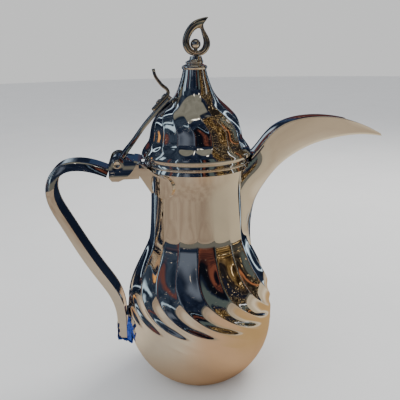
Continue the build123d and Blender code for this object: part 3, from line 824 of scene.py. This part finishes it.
def make_dome():
    """Fluted sheet of the lid, flat on top round the finial's hole, with its inner side."""
    outer = lid_curve.at(np.linspace(0, 1, DOME_ROWS))
    inner = lid_curve.at(np.linspace(1, 0, DOME_INNER_ROWS)) - np.array([DOME_WALL, 0])
    inner[0, 1] = DOME_TOP_Z - SHEET
    inner[-1, 1] = LID_SHELL_Z
    middle = [(4.0, DOME_TOP_Z), (STUD_HOLE_RADIUS, DOME_TOP_Z)]
    middle += [(STUD_HOLE_RADIUS, DOME_TOP_Z - SHEET), (4.0, DOME_TOP_Z - SHEET)]
    profile = np.vstack([outer, middle, inner])
    points = fluted_shell(profile, lid_groove, lid_turn)
    return grid_object("lid-dome", points, wrap_rows=True, sharp=50)


def make_rim():
    """Bead, coned groove and out-turned lip over the skirt that drops into the neck."""
    profile = [(SKIRT_RADIUS - SHEET, SKIRT_BOTTOM_Z + 0.3), (SKIRT_RADIUS - 0.6, SKIRT_BOTTOM_Z)]
    profile += [(SKIRT_RADIUS - 0.3, SKIRT_BOTTOM_Z), (SKIRT_RADIUS, SKIRT_BOTTOM_Z + 0.3)]
    profile += [(SKIRT_RADIUS, LID_BOTTOM_Z - 0.6), (SKIRT_RADIUS + 0.6, LID_BOTTOM_Z)]
    profile += arc((41.7, LID_BOTTOM_Z + 0.6), 0.6, -90, 95, 14)
    groove = [(41.42, 1.4), (41.1, 2.9), (40.8, 4.4), (40.9, 4.65), (41.2, 4.8)]
    lip = [(42.4, 4.95), (43.2, 5.15), (43.6, 5.4)]
    profile += [(radius, LID_BOTTOM_Z + up) for radius, up in groove + lip]
    profile += [(43.8, LID_SHELL_Z)]
    profile += [(42.8, LID_SHELL_Z), (39.9, LID_BOTTOM_Z + 5.3), (39.8, LID_BOTTOM_Z + SHEET)]
    profile += [(SKIRT_RADIUS - SHEET, LID_BOTTOM_Z + SHEET)]
    return revolved("lid-rim-ring", profile, 240, sharp=50)


def make_cap():
    """Turned cap of two beads, with a stem that stands under the flame."""
    profile = [(0.02, DOME_TOP_Z), (9.1, DOME_TOP_Z)]
    profile += arc((8.3, 263.5), 1.65, -50, 62, 12)
    profile += [(7.9, 265.3), (7.2, 265.7), (6.5, 266.2)]
    profile += arc((5.9, 267.3), 1.05, -50, 65, 9)
    profile += [(6.0, 268.5), (5.3, 269.0), (5.0, 269.9), (4.7, 270.9), (4.5, 271.68)]
    profile += [(0.02, 271.7)]
    item = revolved("finial-cap", profile, 96, closed=False, sharp=60)
    for vertex in item.data.vertices:
        vertex.co.x += FINIAL_X * MM * float(ramp(vertex.co.z / MM, 267.6, 269.0))
    return item


# Edges of the flame, from its tip down the left side and up the right: (x, z), point for point.
OUTER_FLAME = [
    (11.2, 299.8), (4.0, 299.0), (-2.7, 295.3), (-7.8, 287.5), (-8.6, 280.0), (-5.2, 274.0),
    (1.7, 271.8), (8.6, 273.6), (12.4, 280.5), (10.4, 287.2), (7.4, 293.8), (8.4, 297.2),
]
INNER_FLAME = [
    (4.6, 292.0), (2.8, 291.9), (-0.4, 289.3), (-2.9, 285.0), (-3.2, 280.2), (-1.2, 277.0),
    (1.6, 275.6), (5.2, 277.0), (7.2, 281.0), (6.9, 285.4), (5.9, 289.2), (5.3, 291.2),
]


def make_flame():
    """Cast flame ring: rounded in section, thinner to its tip, with a line cut along it."""
    share = np.linspace(0, 1, 193)[:-1]
    count = len(OUTER_FLAME)
    knots = np.arange(count + 1)
    edges = []
    for outline in (OUTER_FLAME, INNER_FLAME):
        edge = Curve(outline, closed=True)
        edge_t = [edge.knot(count + i) for i in knots]
        edges.append(edge.at(np.interp(share * count, knots, edge_t)))
    at_outer, at_inner = edges
    turn = np.linspace(0, 2 * pi, 48, endpoint=False)
    from_tip = np.minimum(share, 1 - share)[:, None]
    half = (RING_HIGH[1] - RING_LOW[1]) / 2 * (0.45 + 0.55 * ramp(from_tip, 0.0, 0.16))
    radial = np.sign(np.cos(turn)) * np.abs(np.cos(turn)) ** 0.8
    thick = np.sign(np.sin(turn)) * np.abs(np.sin(turn)) ** 0.8
    cut = 0.16 * np.exp(-((radial[None, :] - 0.1) / 0.16) ** 2)
    centre, reach = (at_outer + at_inner) / 2, (at_outer - at_inner) / 2
    flat = centre[:, None] + reach[:, None] * radial[None, :, None]
    y = half * thick[None, :] * (1 - cut)
    points = np.stack([flat[..., 0], y, flat[..., 1]], -1)
    return grid_object("finial-flame-ring", points, wrap_rows=True, sharp=60)


def make_ball():
    profile = arc((0, BALL_Z), BALL_RADIUS, -89, 89, 60)
    return revolved("finial-ball", profile, 96, (FINIAL_X, 0), closed=False, sharp=60)


steel(make_dome(), "lid", "lid_dome")
steel(make_rim(), "lid", "lid_rim_ring")
steel(make_cap(), "lid", "finial_cap")
fit(make_flame(), "lid", "cast_metal", STEEL_CAST, "finial_ring")
fit(make_ball(), "lid", "cast_metal", STEEL, "finial_ball")


# ---- lever, tab and rivets ------------------------------------------------------------------
LEVER_THICKNESS = 3.0
LEVER_WIDTHS = ((-64, -58, -51, -44, -10), (11.4, 11.0, 6.8, 5.2, 5.0))   # x, half width
TAB_THICKNESS = 2.4
RIVET_LEVELS = (233.8, 238.0)
SLANT = sqrt(2)         # the strap climbs the dome at about 45 degrees
STRAP_GAP = LEVER_THICKNESS / 2 * SLANT + 0.5
lever_line = [(-59.2, 196.4), (-54.4, 202.2), (-48.6, 209.4), (-42.6, 217.4), (-36.4, 224.6)]


def dome_radius(z):
    """Radius of the lid at height z, straight between its outline's points."""
    radii, heights = zip(*LID_OUTLINE)
    return float(np.interp(z, heights, radii))


lever_line += [(-dome_radius(z) - STRAP_GAP, z) for z in (231.0, 236.0, 242.0)]
TAB_GAP = STRAP_GAP + (LEVER_THICKNESS + TAB_THICKNESS) / 2 * SLANT + 0.1


def make_lever():
    """Strap from the barrel to the dome: broad at the hinge, narrow above."""
    curve = Curve(lever_line)
    places = np.linspace(0, 1, 90)
    x = curve.at(places)[:, 0]
    half = np.interp(x, *LEVER_WIDTHS)
    half = np.convolve(np.pad(half, 6, mode="edge"), np.ones(13) / 13, mode="valid")
    end = np.sqrt(1 - np.clip((places - 0.955) / 0.05, 0, 1) ** 2)
    sections = [
        rounded_section(2 * w, LEVER_THICKNESS, 0.9, crown=0.3) for w in half * end
    ]
    return weigh(swept("lid-lever", curve, sections, places, 40))


def make_tab():
    """Thumb tab bent up from the strap and curled back at its end."""
    low = np.array([-dome_radius(231.5) - TAB_GAP, 231.5])
    bend = low + (13.4, 13.3)
    curve = Curve([
        low, (low + bend) / 2, bend - (2.4, 2.4), bend - (0.9, 0.5), bend + (-1.0, 1.4),
        (-25.2, 250.2), (-28.0, 253.6), (-30.4, 257.4), (-31.8, 263.0),
    ])
    places = np.linspace(0, 1, 90)
    fade = 1 - 0.12 * ramp(places, 0.5, 1)
    ends = np.sqrt(1 - np.clip((places - 0.9) / 0.105, 0, 1) ** 2)
    ends = ends * np.sqrt(1 - np.clip((0.04 - places) / 0.045, 0, 1) ** 2)
    sections = [rounded_section(TAB_WIDTH * w, TAB_THICKNESS, 0.8) for w in fade * ends]
    return weigh(swept("thumb-tab", curve, sections, places, 40))


def make_rivets():
    """Two domed rivets through the tab and the strap into the dome."""
    grip = STRAP_GAP / SLANT + LEVER_THICKNESS / 2 + TAB_THICKNESS + 0.45
    profile = [(0.02, 0.6), (1.2, 0.6), (1.2, grip), (2.3, grip), (2.25, grip + 0.25)]
    profile += [(1.9, grip + 0.62), (1.2, grip + 0.88), (0.02, grip + 0.98)]
    slope = Matrix.Rotation(radians(-45), 4, "Y")
    rivets = []
    for z in RIVET_LEVELS:
        rivet = revolved("lever-rivets", profile, 40, closed=False)
        place = Matrix.Translation(Vector((-dome_radius(z), 0, z)) * MM)
        rivet.data.transform(place @ slope)
        rivets.append(rivet)
    return join(*rivets)


steel(make_lever(), "lid", "lid_lever")
steel(make_tab(), "lid", "thumb_tab", material=STEEL_CAST)
steel(make_rivets(), "lid", "lever_rivets")

CARRIED = {
    "base_disc": STEEL_PLAIN, "handle_foot_plate": STEEL, "finial_stud": STEEL_PLAIN,
    "finial_washer": STEEL_PLAIN, "finial_nut": STEEL_PLAIN,
}
for node, material in CARRIED.items():
    frame["nodes"][node].data.materials.clear()
    frame["nodes"][node].data.materials.append(material)


# ---- floor ----------------------------------------------------------------------------------
def make_floor():
    """Plain pale floor; polished metal sees a warm table top with the dark room past its edge."""
    radii = np.r_[0.001, np.linspace(0.05, 4.0, 40)] / MM
    angle = np.linspace(0, 2 * pi, 96, endpoint=False)
    along, across = radii[:, None] * np.cos(angle), radii[:, None] * np.sin(angle)
    floor = grid_object("floor", np.stack([along, across, np.zeros_like(along)], -1))
    material, n = new_material("floor_pale")
    place = n.add("ShaderNodeTexCoord").outputs["Object"]
    cloud = n.noise(place, 9.0, 5.0, 0.6)
    seen = n.mix(cloud, colour(0.72, 0.73, 0.72), colour(0.80, 0.80, 0.79))
    away = n.add("ShaderNodeVectorMath", {0: place}, operation="LENGTH").outputs["Value"]
    uneven = n.math("SUBTRACT", n.noise(place, 3.2, 3.0, 0.6), 0.5)
    away = n.math("ADD", away, n.math("MULTIPLY", uneven, 0.10))
    x, y, _ = n.add("ShaderNodeSeparateXYZ", {"Vector": place}).outputs
    near = n.mix(n.step(x, -0.10, 0.02), colour(0.56, 0.46, 0.33), colour(0.47, 0.29, 0.155))
    near = n.mix(n.step(x, 0.04, 0.13), near, colour(0.41, 0.25, 0.095))
    near = n.mix(n.step(x, 0.15, 0.24), near, colour(0.72, 0.62, 0.45))
    dark, light = colour(0.27, 0.185, 0.115), colour(0.35, 0.26, 0.165)
    far = n.mix(n.step(cloud, 0.35, 0.65), dark, light)
    far = n.mix(n.step(x, 0.10, 0.50), far, colour(0.42, 0.34, 0.22))
    warm = n.mix(n.step(away, 0.14, 0.40), near, far)
    glossy = n.add("ShaderNodeLightPath").outputs["Is Glossy Ray"]
    tint = n.mix(glossy, seen, warm)
    shader = n.add("ShaderNodeBsdfPrincipled", {"Base Color": tint, "Roughness": 0.75})
    past_edge = n.math("MAXIMUM", n.step(away, 0.84, 0.92), n.step(y, 0.22, 0.30))
    open_share = n.math("MULTIPLY", glossy, past_edge)
    clear = n.add("ShaderNodeBsdfTransparent")
    shares = {0: open_share, 1: shader.outputs[0], 2: clear.outputs[0]}
    n.finish(n.add("ShaderNodeMixShader", shares))
    floor.data.materials.append(material)


make_floor()


# ---- surroundings ---------------------------------------------------------------------------
def make_world():
    """Pale studio behind; polished metal sees a dim room with windows on its left."""
    world = bpy.data.worlds.new("room")
    bpy.context.scene.world = world
    world.use_nodes = True
    n = Nodes(world.node_tree)
    way = n.add("ShaderNodeTexCoord").outputs["Generated"]
    x, y, z = n.add("ShaderNodeSeparateXYZ", {"Vector": way}).outputs
    # around: degrees from the front (-Y), growing towards +X; height: degrees above the horizon
    around = n.math("DEGREES", n.math("ARCTAN2", x, n.math("MULTIPLY", y, -1.0)))
    height = n.math("DEGREES", n.math("ARCSINE", z))
    cloud = n.noise(way, 5.0, 5.0, 0.65)
    fine = n.noise(way, 19.0, 4.0, 0.6)
    # uneven edges, so that nothing in the room looks ruled
    around = n.math("ADD", around, n.math("MULTIPLY", n.math("SUBTRACT", fine, 0.5), 5.0))

    def points(scale, size, low, high):
        """Small lamps and glints, only where the clouds are between low and high."""
        cells = n.add("ShaderNodeTexVoronoi", {"Vector": way, "Scale": scale})
        dots = n.math("SUBTRACT", 1.0, n.step(cells.outputs["Distance"], size * 0.5, size))
        return n.math("MULTIPLY", dots, n.step(cloud, low, high))

    dark, light = colour(0.007, 0.011, 0.024), colour(0.022, 0.032, 0.060)
    room = n.mix(n.step(cloud, 0.35, 0.7), dark, light)
    dark, light = colour(0.010, 0.017, 0.034), colour(0.045, 0.062, 0.090)
    slate = n.mix(n.step(cloud, 0.35, 0.65), dark, light)
    room = n.mix(n.band(around, -118, -38, 8), room, slate)

    def panel(tone, low, high, bottom, top, soft=1.5, share=1.0):
        """Adds a patch of one tone, between low and high around and bottom and top in height."""
        nonlocal room
        columns, rows = n.band(around, low, high, soft), n.band(height, bottom, top, 3.0)
        mask = n.math("MULTIPLY", columns, rows)
        room = n.mix(n.math("MULTIPLY", mask, share), room, tone)

    def mottled(dark, light, low=0.42, high=0.68):
        return n.mix(n.step(fine, low, high), dark, light)

    def glints(where, dots, tone):
        nonlocal room
        room = n.mix(n.math("MULTIPLY", where, dots), room, tone)

    # front: a grey blur, a dark post with a red-brown middle, a grey-green doorway
    panel(colour(0.16, 0.185, 0.23), -33, -22, 6, 27, soft=5, share=0.8)
    panel(colour(0.005, 0.006, 0.010), 1, 21, -40, 40)
    rust = mottled(colour(0.055, 0.020, 0.018), colour(0.19, 0.060, 0.036), 0.4, 0.6)
    panel(rust, 9.5, 14, -30, 33, soft=1.6)
    panel(colour(0.30, 0.42, 0.55), 4.2, 5.0, -30, 38, soft=0.5)
    panel(colour(0.085, 0.108, 0.10), 23, 34, -12, 38)
    # right: shelves with gold goods and small lamps
    goods = mottled(colour(0.020, 0.012, 0.006), colour(0.26, 0.155, 0.055))
    panel(goods, 40, 58, -12, 62, soft=4)
    wares = mottled(colour(0.018, 0.014, 0.011), colour(0.095, 0.075, 0.050))
    panel(wares, 58, 116, -12, 62, soft=4)
    panel(colour(0.090, 0.105, 0.095), 84, 92, -30, 40)
    panel(colour(0.013, 0.015, 0.025), 62, 70, -12, 34)
    panel(colour(1.5, 1.6, 1.7), 80, 81.5, -30, 44, soft=0.7)
    panel(colour(0.42, 0.15, 0.06), 98.5, 100.5, -12, 30, soft=0.8)
    # left: windows with dark frames
    for low, high, bottom, top in ((-48, -46, -30, 34), (-88, -79, 10, 34), (-97, -93, 0, 44)):
        panel(colour(0.62, 0.80, 0.93), low, high, bottom, top, soft=1.6)
    panel(colour(0.15, 0.055, 0.045), -66, -62, -10, 30, soft=2)
    panel(colour(1.0, 0.45, 0.12), -112, -108.5, -4, 9, soft=1.2)
    # behind: dark, with dull red and blue things and a few lit edges
    panel(colour(0.12, 0.040, 0.034), 150, 174, 8, 32, soft=5, share=0.85)
    panel(colour(0.030, 0.055, 0.115), 172, 184, 2, 60, soft=4, share=0.9)
    panel(colour(0.60, 0.74, 0.88), -170, -160, 4, 27, soft=4, share=0.8)
    panel(colour(0.13, 0.042, 0.034), -158, -146, 10, 40, soft=5, share=0.8)
    for low, high in ((-128, -125.5), (-141, -139.5), (127, 129), (141, 142.5)):
        panel(colour(0.95, 1.2, 1.4), low, high, -50, 56, soft=0.8)

    gold = n.math("MULTIPLY", n.band(around, 36, 118, 3), n.band(height, -10, 62, 3))
    glints(gold, points(40.0, 0.22, 0.40, 0.56), colour(2.4, 1.6, 0.68))
    glints(gold, points(21.0, 0.15, 0.36, 0.54), colour(3.2, 2.4, 1.3))
    elsewhere = n.math("MAXIMUM", n.math("SUBTRACT", n.band(height, -4, 40, 3), gold), 0.0)
    glints(elsewhere, points(34.0, 0.15, 0.5, 0.6), colour(1.9, 1.6, 1.2))

    # above: a grey-olive ceiling that comes lower on the right, with a few lamps
    dark, light = colour(0.185, 0.178, 0.142), colour(0.265, 0.255, 0.21)
    ceiling = n.mix(n.step(cloud, 0.3, 0.7), dark, light)
    edge = n.math("ADD", height, n.math("MULTIPLY", n.step(around, 40, 66), -16.0))
    room = n.mix(n.step(edge, 56.5, 59.5), room, ceiling)
    # below the horizon, past the table's edge
    beyond = n.math("SUBTRACT", 1.0, n.step(height, -5.0, -1.0))
    beyond = n.math("MULTIPLY", beyond, n.band(around, -48, 70, 6))
    room = n.mix(beyond, room, colour(0.155, 0.148, 0.122))
    for low, high, bottom, top in ((-15, -11, 56, 62), (24, 29, 52, 56), (38, 42, 60, 64)):
        panel(colour(3.5, 3.3, 2.8), low, high, bottom, top, soft=0.7)

    paths = n.add("ShaderNodeLightPath")
    low, high = colour(0.785, 0.79, 0.785), colour(0.80, 0.815, 0.81)
    backdrop = n.mix(n.step(height, -4, 30), low, high)
    tone = n.mix(paths.outputs["Is Diffuse Ray"], room, colour(0.95, 0.96, 1.0))
    tone = n.mix(paths.outputs["Is Camera Ray"], tone, backdrop)
    shader = n.add("ShaderNodeBackground", {"Color": tone, "Strength": 1.0})
    n.finish(shader, "ShaderNodeOutputWorld")


POT_MIDDLE = Vector((0, 0, 0.12))


def add_light(name, place, size, power, tone):
    """Soft square lamp aimed at the pot's middle, itself unseen in the metal."""
    lamp = bpy.data.lights.new(name, "AREA")
    lamp.size = size
    lamp.energy = power
    lamp.color = tone
    item = bpy.data.objects.new(name, lamp)
    bpy.context.scene.collection.objects.link(item)
    item.location = place
    item.rotation_mode = "QUATERNION"
    item.rotation_quaternion = (POT_MIDDLE - Vector(place)).to_track_quat("-Z", "Y")
    item.visible_glossy = False


make_world()
add_light("key", (0.55, 0.5, 0.9), 0.6, 9.0, (1.0, 0.98, 0.94))
add_light("fill", (-0.8, -0.7, 0.7), 0.9, 4.0, (0.94, 0.97, 1.0))


# ---- camera ---------------------------------------------------------------------------------
CAMERA_PLACE = Vector((-37.5, -428.4, 283.0)) * MM
CAMERA_OFF_AXIS, CAMERA_PITCH, CAMERA_ROLL = -0.30, -16.4, 1.13    # degrees
SENSOR_WIDTH, FOCAL_LENGTH = 36.0, 48.69


def make_camera():
    """Camera at eye height in front of the pot, turned off its axis, tilted down and rolled."""
    heading = atan2(-CAMERA_PLACE.y, -CAMERA_PLACE.x) + radians(CAMERA_OFF_AXIS)
    pitch, roll = radians(CAMERA_PITCH), radians(CAMERA_ROLL)
    forward = Vector((cos(heading) * cos(pitch), sin(heading) * cos(pitch), sin(pitch)))
    right = forward.cross(Vector((0, 0, 1))).normalized()
    up = right.cross(forward)
    turned_right = right * cos(roll) - up * sin(roll)
    turned_up = up * cos(roll) + right * sin(roll)
    camera = bpy.data.cameras.new("camera")
    camera.sensor_width = SENSOR_WIDTH
    camera.lens = FOCAL_LENGTH
    camera.clip_start, camera.clip_end = 0.01, 20.0
    item = bpy.data.objects.new("camera", camera)
    bpy.context.scene.collection.objects.link(item)
    basis = Matrix((turned_right, turned_up, -forward)).transposed()
    item.matrix_world = Matrix.Translation(CAMERA_PLACE) @ basis.to_4x4()
    bpy.context.scene.camera = item


make_camera()
